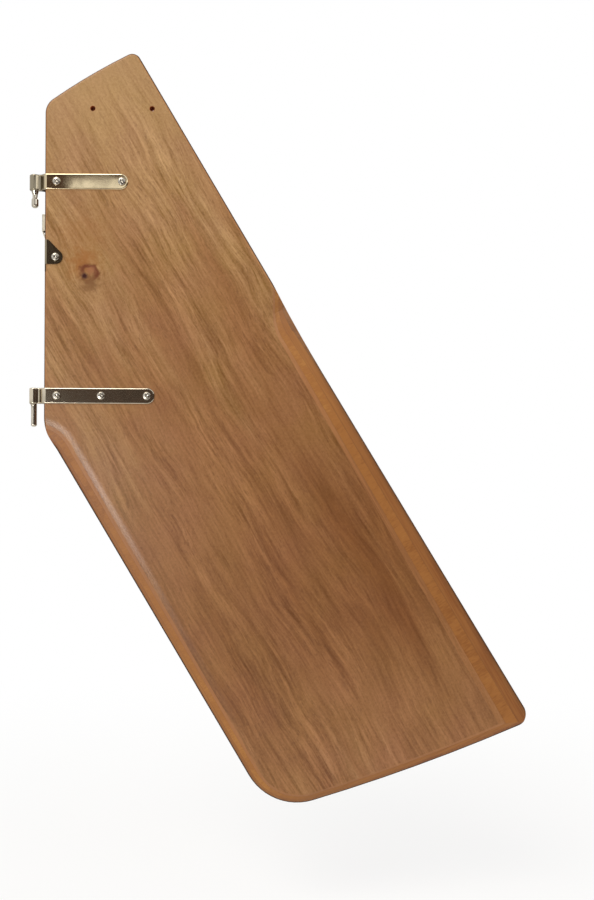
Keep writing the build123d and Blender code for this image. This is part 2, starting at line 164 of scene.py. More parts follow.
class Shader:
    """A material's node tree, with the patterns and stains that the finishes share."""

    def __init__(self, name: str) -> None:
        """Start an empty material of that name."""
        self.material = bpy.data.materials.new(name)
        self.material.use_nodes = True
        self.tree = self.material.node_tree
        self.tree.nodes.clear()

    def add(self, kind: str, *values: Value, **settings: Any) -> Any:
        """Add one node to this material, as the function add does."""
        return add(self.tree, kind, *values, **settings)

    def in_mm(self) -> Value:
        """Object coordinates in millimetres."""
        source = self.add("TexCoord", out="Object")
        return self.add("Mapping", source, named={"Scale": (1 / MM, 1 / MM, 1 / MM)})

    def pattern(
        self,
        place: Value,
        sizes: Sequence[float],
        detail: float = 2.0,
        roughness: float = 0.5,
        distortion: float = 0.0,
    ) -> Value:
        """Soft noise, about 0.5 on average.

        Args:
            place: where it is read, in millimetres.
            sizes: usual size of its spots along the place's X, Y and Z, in millimetres.
            detail: number of finer noises on top of the first.
            roughness: strength of the finer ones.
            distortion: how far the spots are warped.
        Returns:
            The noise.
        """
        noise = {"Scale": 1.0, "Detail": detail, "Roughness": roughness, "Distortion": distortion}
        noise["Vector"] = self.add("VectorMath DIVIDE", place, tuple(sizes))
        return self.add("TexNoise", named=noise)

    def swing(self, noise: Value, gain: float, onto: Value) -> Value:
        """Add a noise's swing about its middle, times a gain, to a value."""
        about_middle = self.add("Math SUBTRACT", noise, 0.5)
        return self.add("Math MULTIPLY_ADD", about_middle, gain, onto)

    def stain(self, base: Value, tint: str, share: Value, strength: float = 1.0) -> Value:
        """Stain a colour with a hex one, by a share from zero to one times a strength."""
        share = self.add("Math MULTIPLY", share, strength)
        mixed = {0: share, 6: base, 7: colour(tint)}
        return self.add("Mix", data_type="RGBA", out=2, named=mixed)

    def toned(self, tone: Value, dark: str, middle: str, pale: str) -> Value:
        """Colour a wood by its tone: dark at zero, middle at a half and pale at one."""
        upper = self.stain(colour(middle), pale, self.add("MapRange", tone, 0.5, 1.0, **SMOOTH))
        return self.stain(upper, dark, self.add("MapRange", tone, 0.5, 0.0, **SMOOTH))

    def finish(self, inputs: dict[str, Value]) -> Material:
        """Close the tree with one principled shader and give the material."""
        self.add("OutputMaterial", self.add("BsdfPrincipled", named=inputs))
        return self.material


class WoodShader(Shader):
    """A ply's material, with its place on the blade, painted edge shade and varnish."""

    # Tints of the painted shade on the arrises and of a tiller hole's bare wall
    EDGE_SHADE = "#2a170b"
    BARE_HOLE = "#9a4a1a"
    # A glue line is full within the first half width, and gone beyond the second
    GLUE_HALF_WIDTH = (0.05, 0.14)
    GLUE_SHARE = 0.25
    # The crest of the nose: width of the strip that sanding has rounded, and how steep it gets
    CREST_REACH = 8.0
    CREST_SLOPE = 0.22
    # Depth of the grain's relief
    GRAIN_RELIEF = 0.06

    def __init__(self, name: str) -> None:
        """Start a material with the blade's coordinates, in millimetres.

        Down and aft are measured from the origin, along and across from the bend. Facing is one
        where the surface looks abeam, and nothing on the blade's edges.
        """
        super().__init__(name)
        self.place = self.in_mm()
        self.down, self.aft = (
            self.add("VectorMath DOT_PRODUCT", self.place, way, out="Value")
            for way in (ALONG, ACROSS)
        )
        self.along = self.add("Math SUBTRACT", self.down, BEND_ALONG)
        self.across = self.add("Math SUBTRACT", self.aft, BEND_ACROSS)
        self.y = self.add("SeparateXYZ", self.place, out="Y")
        self.depth = self.add("Math ABSOLUTE", self.y)
        normal_y = self.add("SeparateXYZ", self.add("NewGeometry", out="True Normal"), out="Y")
        self.facing = self.add("Math ABSOLUTE", normal_y)

    def glue_line(self, wood: Value, depth: float, tint: str) -> Value:
        """Darken the wood at a glue line, a tenth of a millimetre of resin.

        Args:
            wood: colour of the wood.
            depth: distance of the glue line from the blade's mid-plane.
            tint: colour of the resin.
        Returns:
            The colour with the line in it.
        """
        off = self.add("Math SUBTRACT", self.depth, depth)
        off = self.add("Math ABSOLUTE", off)
        full, none = self.GLUE_HALF_WIDTH
        line = self.add("MapRange", off, none, full, **SMOOTH)
        return self.stain(wood, tint, line, self.GLUE_SHARE)

    def shaded_edge_and_bare_hole(self, wood: Value) -> tuple[Value, Value]:
        """Paint shade on the arrises, and leave the tiller holes bare and red.

        The shade is painted where the surface turns away from the faces, less on the flat of an
        edge, so that its plies show as stripes. Below the run-out of the nose the outer strip of a
        bevel gets painted shade as well.

        Args:
            wood: colour of the wood.
        Returns:
            The colour with painted edge shade, and a share, one where the varnish has sunk in.
        """
        # painted shade, dark where the surface turns away from the faces at the arrises
        edge = self.add("MapRange", self.facing, 0.95, 0.68, 0.0, 0.92, **SMOOTH)
        flat = self.add("MapRange", self.facing, 0.0, 0.4, 0.35, 1.0, **SMOOTH)
        edge = self.add("Math MULTIPLY", edge, flat)
        # painted shade on the outer strip of the bevels below the run-out of the nose
        rim = self.add("MapRange", self.depth, 3.7, 2.5, 0.0, 0.4, **SMOOTH)
        below = self.add("MapRange", self.down, 70.0, 130.0, **SMOOTH)
        rim = self.add("Math MULTIPLY", rim, below)
        edge = self.add("Math MAXIMUM", edge, rim)
        in_plane = self.add("VectorMath MULTIPLY", self.place, (1, 0, 1))
        hole = 0.0
        for middle in TILLER_HOLES:
            away = self.add("VectorMath DISTANCE", in_plane, middle, out="Value")
            near = self.add("MapRange", away, TILLER_HOLE_R + 0.3, TILLER_HOLE_R + 0.05, **SMOOTH)
            hole = self.add("Math MAXIMUM", hole, near)
        wood = self.stain(wood, self.EDGE_SHADE, edge)
        wood = self.stain(wood, self.BARE_HOLE, hole)
        return wood, self.add("Math MAXIMUM", edge, hole)

    def rounded_crest(self) -> Value:
        """Draw the inner side of the nose's crest as rounded over by sanding.

        The face falls away towards it, with height -(1 - u / reach) squared where u is the distance
        from it, so the lamps draw a soft line there. The crest lies at the bevel's width from the
        leading edge, and on an arc above the run-out.

        Returns:
            The normal.
        """
        below = self.add("Math SUBTRACT", self.along, RUN_OUT_ALONG)
        above = self.add("Math MINIMUM", below, 0.0)
        below = self.add("Math MAXIMUM", below, 0.0)
        aft = self.add("Math ADD", self.across, RUN_OUT_RADIUS)
        from_arc = self.add("CombineXYZ", above, aft, 0.0)
        inward = self.add("VectorMath LENGTH", from_arc, out="Value")
        inward = self.add("Math SUBTRACT", inward, RUN_OUT_RADIUS)
        narrowing = (NOSE_TIP_WIDTH - NOSE_WIDTH) / (LEAD_LENGTH - RUN_OUT_ALONG)
        crest = self.add("Math MULTIPLY_ADD", below, narrowing, NOSE_WIDTH)
        past = self.add("Math SUBTRACT", inward, crest)
        near = self.add("MapRange", past, 0.0, self.CREST_REACH, 1.0, 0.0)
        fall = self.add("Math MULTIPLY", near, near)
        fall = self.add("Math MULTIPLY", fall, -1.0)
        deepest = self.CREST_SLOPE * self.CREST_REACH / 2 * MM
        return self.add("Bump", named={"Distance": deepest, "Height": fall})

    def varnish(self, wood: Value, roughness: Value, relief: Value, dull: Value) -> Material:
        """Close a wood material under its thin satin varnish.

        Thin varnish gives a broad soft gloss that leaves the wood's colour clear, with the usual
        IOR of 1.5. The bare holes and the edges under painted shade have none.

        Args:
            wood: colour of the wood.
            roughness: its roughness under sound varnish.
            relief: height of the grain, from zero to one.
            dull: one where the varnish has sunk in, as on the painted-shade edges and in the holes.
        Returns:
            The material.
        """
        crest_normal = self.rounded_crest()
        grain = {"Strength": 0.6, "Distance": self.GRAIN_RELIEF * MM, "Height": relief}
        normal = self.add("Bump", named={**grain, "Normal": crest_normal})
        coat = self.add("Math MULTIPLY_ADD", dull, -0.3, 0.3)
        return self.finish(
            {
                "Base Color": wood,
                "Roughness": self.add("Math MAXIMUM", roughness, dull),
                "Normal": normal,
                "Specular IOR Level": 0.3,
                "Coat Weight": coat,
                "Coat Roughness": 0.25,
                "Coat Normal": crest_normal,
            }
        )


@dataclass(frozen=True)
class Knot:
    """A small live knot in the port face's veneer, which the grain runs round.

    Its spots are round, each with its middle as X and Z and its radius.
    """

    along: float = -111.3
    across: float = 118.3
    radius: float = 7.4
    heart: Triple = (57.6, 133.6, 6.6)
    pith: Triple = (51.2, 128.1, 4.4)
    glow: Triple = (51.0, 139.0, 23.0)
    shade: Triple = (57.0, 121.0, 17.0)
    halo: Triple = (48.0, 168.0, 38.0)
    # The rim is dark above and faint below: the way that it darkens, and where it does so
    rim_way: Triple = (0.35, 0.0, 0.94)
    rim_span: tuple[float, float] = (136.0, 143.0)
    # The grain parts round a post somewhat wider than the knot, more gently near its middle
    post: float = 1.5
    parting: float = 0.35
    # Length over which the knot's outlines fray
    fray: float = 5.0


@dataclass(frozen=True)
class VeneerFinish:
    """Varnished brown oak veneer, flat sliced.

    It gives the eye long wavy streaks, short dark pores and one knot under a satin surface, paler
    at the head and darker towards the tip: partly its tone, partly painted light from above.
    """

    pale: str = "#a27d55"
    middle: str = "#8c5f39"
    dark: str = "#75471f"
    pore: str = "#5e3512"
    # thinned veneer on the bevels: partly orange ply, partly a painted crest highlight
    feather_and_highlight: str = "#a66d3d"
    glue: str = "#6d4526"
    knot_rim: str = "#662d06"
    knot_pith: str = "#340700"
    knot_heart: str = "#9c6242"
    knot_glow: str = "#945a1e"
    knot_shade: str = "#6e4419"
    knot: Knot = Knot()
    # Streaks along the grain, with their usual width and length and which noise they read. The
    # open pores are a little coarser than real ones, so that they show
    broad: Triple = (30.0, 300.0, 3.1)
    bands: Triple = (9.0, 120.0, 4.4)
    streaks: Triple = (4.6, 80.0, 7.7)
    lines: Triple = (2.4, 30.0, 1.9)
    pores: Triple = (1.2, 7.0, 5.3)
    # Waves of the grain: width, length and size of the slow ones and of the small ones
    slow_waves: Triple = (170.0, 260.0, 36.0)
    small_waves: Triple = (34.0, 60.0, 8.0)
    # Sizes of the patches in which the grain is strong or faint, of mottle and of hue
    figure: tuple[float, float] = (38.0, 110.0)
    mottle: float = 2.5
    hue_patch: float = 55.56
    # Belt of darker heartwood down the after part: its middle, its half width, where it starts
    belt_across: float = 212.0
    belt_half_width: float = 34.0
    belt_start: tuple[float, float] = (40.0, 260.0)
    # Places along the blade between which the tone changes, and by how much. The first two
    # steps darken it from the head down: partly the wood's tone, partly painted light from above
    tone_and_light_steps: tuple[Triple, ...] = (
        (-330.0, 60.0, -0.37),
        (40.0, 260.0, -0.34),
        (330.0, 440.0, 0.30),
    )

    def grain_place(self, s: WoodShader) -> tuple[Value, Value]:
        """Work out where a point lies across the grain.

        Round the knot, on the port face, the grain is the flow past a round post: across times one
        less (radius / distance) squared. Two noises then sway it over the whole blade.

        Args:
            s: material that gets the nodes.
        Returns:
            Distance across the grain, and the distance from the knot's middle in knot radii.
        """
        knot = self.knot
        side = s.add("Math SIGN", s.y)
        on_port = s.add("MapRange", side, -0.5, 0.5, 1.0, 0.0, **SMOOTH)
        knot_along = s.add("Math SUBTRACT", s.along, knot.along)
        knot_across = s.add("Math SUBTRACT", s.across, knot.across)
        square = s.add("Math MULTIPLY", knot_along, knot_along)
        square = s.add("Math MULTIPLY_ADD", knot_across, knot_across, square)
        reach = (knot.radius * knot.post) ** 2
        softened = s.add("Math ADD", square, knot.parting * reach)
        squeeze = s.add("Math DIVIDE", reach, softened)
        bent = s.add("Math MULTIPLY", knot_across, squeeze)
        bent = s.add("Math MULTIPLY", bent, on_port)
        across = s.add("Math SUBTRACT", s.across, bent)
        other_face = s.add("Math MULTIPLY", side, 400.0)
        place = s.add("CombineXYZ", across, other_face, s.along)
        for width, length, size in (self.slow_waves, self.small_waves):
            across = s.swing(s.pattern(place, (width, width, length)), size, across)
        away = s.add("Math SQRT", square)
        away = s.add("Math DIVIDE", away, knot.radius)
        # far away on the starboard face, which has no knot
        no_knot = s.add("Math MULTIPLY_ADD", on_port, -50.0, 50.0)
        return across, s.add("Math ADD", away, no_knot)

    def drawn_out(self, s: WoodShader, across: Value, streaks: Triple) -> Value:
        """Noise of one set of streaks."""
        width, length, seed = streaks
        place = s.add("CombineXYZ", across, seed, s.along)
        return s.pattern(place, (width, 1.0, length), 2.0, 0.55, 0.5)

    def broad_tone(self, s: WoodShader, across: Value) -> tuple[Value, Value]:
        """Colour the wood by its slow changes: palest at the head, darkest in the lower middle.

        The darkening from the head down is partly painted light from above.

        The belt's share is exp(-(off its middle / half width) squared).

        Args:
            s: material that gets the nodes.
            across: distance across the grain.
        Returns:
            The colour, and the share of the belt of heartwood.
        """
        off = s.add("Math SUBTRACT", across, self.belt_across)
        off = s.add("Math DIVIDE", off, self.belt_half_width)
        square = s.add("Math MULTIPLY", off, off)
        belt = s.add("Math MULTIPLY", square, -1.0)
        belt = s.add("Math EXPONENT", belt)
        start = s.add("MapRange", s.along, *self.belt_start, **SMOOTH)
        belt = s.add("Math MULTIPLY", belt, start)
        tone = s.swing(self.drawn_out(s, across, self.broad), 0.6, 0.98)
        for low, high, change in self.tone_and_light_steps:
            step = s.add("MapRange", s.along, low, high, 0.0, change, **SMOOTH)
            tone = s.add("Math ADD", tone, step)
        tone = s.add("Math MULTIPLY_ADD", belt, -0.18, tone)
        return s.toned(tone, self.dark, self.middle, self.pale), belt

    def grained(
        self, s: WoodShader, wood: Value, across: Value, belt: Value
    ) -> tuple[Value, Value, Value]:
        """Draw the grain: dark is redder, pale greyer, and slow patches lean to yellow or pink.

        Args:
            s: material that gets the nodes.
            wood: colour of the wood.
            across: distance across the grain.
            belt: share of the belt of heartwood.
        Returns:
            The colour with its grain, the noise of the fine lines and the share of the pores.
        """
        bands, streaks, lines, pores = (
            self.drawn_out(s, across, streaks)
            for streaks in (self.bands, self.streaks, self.lines, self.pores)
        )
        # the grain is strong in some patches and faint in others, and faint at the head
        width, length = self.figure
        place = s.add("CombineXYZ", across, 2.6, s.along)
        figure = s.pattern(place, (width, 1.0, length))
        patchy = s.add("MapRange", figure, 0.3, 0.7, 0.6, 1.15, **SMOOTH)
        calm = s.add("MapRange", s.along, -300.0, -150.0, 0.3, 1.0, **SMOOTH)
        calm = s.add("Math MULTIPLY", calm, patchy)
        calm = s.add("Math MULTIPLY_ADD", belt, -0.35, calm)
        light = s.swing(lines, 0.95, s.swing(streaks, 1.15, s.swing(bands, 0.6, 0.0)))
        light = s.add("Math MULTIPLY", light, calm)
        light = s.swing(s.pattern(s.place, (self.mottle,) * 3, 3.0, 0.7), 0.75, light)
        hue = s.pattern(s.place, (self.hue_patch,) * 3)
        red = s.add("Math MULTIPLY_ADD", light, 0.9, 1.05)
        green = s.add("Math MULTIPLY_ADD", light, 1.1, s.swing(hue, 0.15, 1.02))
        blue = s.add("Math MULTIPLY_ADD", light, 1.4, s.swing(hue, -0.3, 0.87))
        factor = s.add("CombineXYZ", red, green, blue)
        wood = s.add("VectorMath MULTIPLY", wood, factor)
        pore = s.add("MapRange", pores, 0.48, 0.30, **SMOOTH)
        share = s.add("Math MULTIPLY", pore, calm)
        return s.stain(wood, self.pore, share, 0.34), lines, pore

    def spot(self, s: WoodShader, at: Triple, ragged: Value, core: float = 0.0) -> Value:
        """Round spot on the port face.

        Args:
            s: material that gets the nodes.
            at: the spot's middle as X and Z, and its radius.
            ragged: change of the distance in radii, which frays the outline.
            core: share of the radius inside which the spot is full.
        Returns:
            A share of one in its middle, falling to nothing at the radius.
        """
        x, z, radius = at
        middle = (x, -HALF, z)
        away = s.add("VectorMath DISTANCE", s.place, middle, out="Value")
        reach = s.add("Math MULTIPLY_ADD", away, 1 / radius, ragged)
        return s.add("MapRange", reach, 1.0, core, **SMOOTH)

    def knotted(self, s: WoodShader, wood: Value, away: Value) -> tuple[Value, Value]:
        """Draw the knot: a glow and a shade, a broken dark rim, a pinkish heart and a dark pith.

        Args:
            s: material that gets the nodes.
            wood: colour of the wood.
            away: distance from the knot's middle in knot radii.
        Returns:
            The colour with the knot in it, and the share of the pith.
        """
        knot = self.knot
        ragged = s.swing(s.pattern(s.place, (knot.fray,) * 3, 1.0), 0.9, 0.0)
        for spot, tint, share in (
            (knot.halo, self.knot_glow, 0.3),
            (knot.glow, self.knot_glow, 0.8),
            (knot.shade, self.knot_shade, 0.75),
        ):
            wood = s.stain(wood, tint, self.spot(s, spot, ragged), share)
        ring = s.add("Math ADD", away, ragged)
        outside = s.add("MapRange", ring, 1.6, 1.05, **SMOOTH)
        inside = s.add("MapRange", ring, 0.4, 0.95, **SMOOTH)
        rim = s.add("Math MULTIPLY", outside, inside)
        up = s.add("VectorMath DOT_PRODUCT", s.place, knot.rim_way, out="Value")
        strength = s.add("MapRange", up, *knot.rim_span, 0.15, 0.95, **SMOOTH)
        rim = s.add("Math MULTIPLY", rim, strength)
        wood = s.stain(wood, self.knot_rim, rim)
        wood = s.stain(wood, self.knot_heart, self.spot(s, knot.heart, ragged), 0.6)
        pith = self.spot(s, knot.pith, ragged, core=0.2)
        return s.stain(wood, self.knot_pith, pith), pith

    def feathered_and_highlit(self, s: WoodShader, wood: Value) -> Value:
        """Tint thinned veneer on bevels: partly the orange ply showing, partly a painted highlight.
        """
        # painted highlight along each bevel's crest, where the veneer is thinned and the ply shows
        off_face = s.add("MapRange", s.facing, 0.998, 0.97, **SMOOTH)
        off_edge = s.add("MapRange", s.facing, 0.8, 0.86, **SMOOTH)
        feather_and_highlight = s.add("Math MULTIPLY", off_face, off_edge)
        return s.stain(wood, self.feather_and_highlight, feather_and_highlight, 0.65)

    def make(self) -> Material:
        """Build the veneer's material."""
        s = WoodShader("Varnished oak veneer")
        across, away = self.grain_place(s)
        wood, belt = self.broad_tone(s, across)
        wood, lines, pore = self.grained(s, wood, across, belt)
        wood, pith = self.knotted(s, wood, away)
        wood = s.glue_line(wood, HALF - FACE_VENEER, self.glue)
        wood, edge_shade_and_hole = s.shaded_edge_and_bare_hole(self.feathered_and_highlit(s, wood))
        raised = s.add("Math MULTIPLY", lines, 0.5)
        relief = s.add("Math MULTIPLY_ADD", pore, -0.5, raised)
        sunk = s.add("Math MULTIPLY", pith, 0.8)
        dull = s.add("Math MAXIMUM", edge_shade_and_hole, sunk)
        roughness = s.add("Math MULTIPLY_ADD", lines, 0.12, 0.34)
        return s.varnish(wood, roughness, relief, dull)


@dataclass(frozen=True)
class PlyFinish:
    """Varnished inner ply of orange-brown hardwood, rotary cut.

    It gives the eye fine straight lines along its grain, and patches of tone.
    """

    name: str
    pale: str
    middle: str
    dark: str
    grain: Grain
    outer_depth: float
    glue: str = "#5f3a1c"
    # Sizes off the grain, through the blade and with the grain
    lines: Triple = (1.6, 1.2, 40.0)
    bands: Triple = (9.0, 4.0, 90.0)
    patches: tuple[float, float] = (46.0, 120.0)

    def make(self) -> Material:
        """Build the ply's material. Its outer depth is that of its face away from the mid-plane."""
        s = WoodShader(self.name)
        crossed = self.grain is Grain.CROSS
        off, run = (s.down, s.aft) if crossed else (s.aft, s.down)
        place = s.add("CombineXYZ", off, s.y, run)
        lines = s.pattern(place, self.lines)
        bands = s.pattern(place, self.bands)
        wide, long = self.patches
        patches = s.pattern(s.add("CombineXYZ", off, 4.0, run), (wide, 1.0, long))
        tone = s.swing(patches, 1.1, s.swing(bands, 0.7, s.swing(lines, 0.9, 0.5)))
        # towards the tip it pales along the leading edge and darkens along the trailing one
        paler = s.add("MapRange", s.aft, 60.0, 160.0, 0.2, -0.2, **SMOOTH)
        towards_tip = s.add("MapRange", s.down, 40.0, 400.0, -1.0, 1.0, **SMOOTH)
        tone = s.add("Math MULTIPLY_ADD", towards_tip, paler, tone)
        wood = s.toned(tone, self.dark, self.middle, self.pale)
        for depth in (self.outer_depth, self.outer_depth - INNER_PLY):
            wood = s.glue_line(wood, depth, self.glue)
        wood, dull = s.shaded_edge_and_bare_hole(wood)
        roughness = s.add("Math MULTIPLY_ADD", lines, 0.14, 0.34)
        return s.varnish(wood, roughness, lines, dull)


@dataclass(frozen=True)
class SteelFinish:
    """Stainless steel: warm grey, with cloudy smears that are partly painted dark reflections.

    Fine marks of its making run one way, and the sheet or bar is a little uneven, so reflections
    waver. The marks are far finer than a pixel and are drawn coarser, so that they show.
    """

    name: str
    base: str
    roughness: float
    # Size of the marks along X, Y and Z, and their depth
    marks: Triple
    marks_depth: float
    waviness: float = 0.0
    # share and tint of the smears: partly real smudges, partly painted dark reflections
    smear_and_reflection_share: float = 0.3
    smear_and_reflection_tint: str = "#6b6450"
    smear_size: float = 11.0
    wave_size: float = 17.0
    # Tint of a painted dark reflection on the part that is rolled round the pin, and the places
    # along X between which it starts
    barrel: str = ""
    barrel_end: tuple[float, float] = (14.0, 9.0)

    def make(self) -> Material:
        """Build the metal's material."""
        s = Shader(self.name)
        place = s.in_mm()
        marks = s.pattern(place, self.marks, 3.0, 0.6)
        smears = s.pattern(place, (self.smear_size,) * 3)
        share = s.add("MapRange", smears, 0.35, 0.7, **SMOOTH)
        # the smears darken the colour: partly real smudges, partly painted dark reflections
        tint = s.stain(colour(self.base), self.smear_and_reflection_tint, share, self.smear_and_reflection_share)
        if self.barrel:
            # painted dark reflection on the part rolled round the pin
            x = s.add("SeparateXYZ", place, out="X")
            rolled = s.add("MapRange", x, *self.barrel_end, **SMOOTH)
            tint = s.stain(tint, self.barrel, rolled, 0.85)
        normal = s.add("Bump", named={"Distance": self.marks_depth * MM, "Height": marks})
        if self.waviness:
            waves = s.pattern(place, (self.wave_size,) * 3, 1.0)
            uneven = {"Distance": self.waviness * MM, "Height": waves, "Normal": normal}
            normal = s.add("Bump", named=uneven)
        cloudy = s.add("Math MULTIPLY_ADD", smears, 0.10, self.roughness - 0.05)
        return s.finish(
            {"Base Color": tint, "Metallic": 1.0, "Roughness": cloudy, "Normal": normal}
        )


@dataclass(frozen=True)
class NylonFinish:
    """Natural nylon ring of a self-locking nut, moulded: milky, cloudy and a little waxy."""

    base: str = "#dfe2d6"
    cloud: str = "#c9cdbf"
    cloud_size: float = 0.625
    relief: float = 0.03

    def make(self) -> Material:
        """Build the nylon's material."""
        s = Shader("Moulded nylon")
        clouds = s.pattern(s.in_mm(), (self.cloud_size,) * 3)
        share = s.add("MapRange", clouds, 0.3, 0.7, **SMOOTH)
        return s.finish(
            {
                "Base Color": s.stain(colour(self.base), self.cloud, share),
                "Roughness": s.add("Math MULTIPLY_ADD", clouds, 0.1, 0.4),
                "Normal": s.add("Bump", named={"Distance": self.relief * MM, "Height": clouds}),
            }
        )


def dress(item: Object, material: Material) -> None:
    """Give an object one material all over."""
    item.data.materials.clear()
    item.data.materials.append(material)


def surface(name: str, points: np.ndarray, material: Material, sharp_deg: float) -> Object:
    """Make a closed, smoothed object from a grid of points whose rows are closed rings.

    A row that has shrunk to one point closes the surface there, because doubles are merged, and so
    does a last row that lies on the first.

    Args:
        name: name of the object.
        points: rows by columns by three, in metres; each row is a closed ring of columns.
        material: finish of the whole piece.
        sharp_deg: edges that turn more than this stay sharp.
    Returns:
        The object, at the origin, with its faces outwards.
    """
    rows, columns = points.shape[:2]
    corner = np.arange(rows * columns).reshape(rows, columns)
    ahead = np.roll(corner, -1, axis=1)
    faces = np.stack([corner[:-1], ahead[:-1], ahead[1:], corner[1:]], axis=-1).reshape(-1, 4)
    mesh = bpy.data.meshes.new(name)
    mesh.from_pydata(points.reshape(-1, 3).tolist(), [], faces.tolist())
    bm = bmesh.new()
    bm.from_mesh(mesh)
    bmesh.ops.remove_doubles(bm, verts=bm.verts, dist=1e-7)
    bmesh.ops.recalc_face_normals(bm, faces=bm.faces)
    for face in bm.faces:
        face.smooth = True
    for edge in bm.edges:
        edge.smooth = edge.calc_face_angle(math.pi) < math.radians(sharp_deg)
    bm.to_mesh(mesh)
    bm.free()
    made = bpy.data.objects.new(name, mesh)
    bpy.context.scene.collection.objects.link(made)
    dress(made, material)
    return made


@dataclass
class Blade:
    """The plies of the blade, each a CAD node, dressed in the wood that it is cut from."""

    cross_outer: float = 3.5 * INNER_PLY
    long_outer: float = 2.5 * INNER_PLY
    inner_outer: float = 1.5 * INNER_PLY

    def build(self, nodes: dict[str, Object]) -> None:
        """Dress the nine plies.

        The outer cross ply is the most orange, the long plies under it are darker, and the inner
        cross plies are a dull brown.

        Args:
            nodes: the frame's CAD nodes.
        """
        veneer = VeneerFinish().make()
        cross = PlyFinish(
            "Varnished cross ply", "#aa7131", "#9b6228", "#89521d", Grain.CROSS, self.cross_outer
        ).make()
        long = PlyFinish(
            "Varnished long ply", "#a1692e", "#925b26", "#824b1c", Grain.LONG, self.long_outer
        ).make()
        inner = PlyFinish(
            "Varnished inner cross ply", "#8f6034", "#7d5029", "#6b411d", Grain.CROSS,
            self.inner_outer,
        ).make()
        for side in Side:
            dress(nodes[f"face_veneer_{side.value}"], veneer)
            dress(nodes[f"cross_ply_{side.value}"], cross)
            dress(nodes[f"long_ply_{side.value}"], long)
            dress(nodes[f"inner_cross_ply_{side.value}"], inner)
        dress(nodes["core_ply"], long)
        log.info("blade: nine plies dressed")


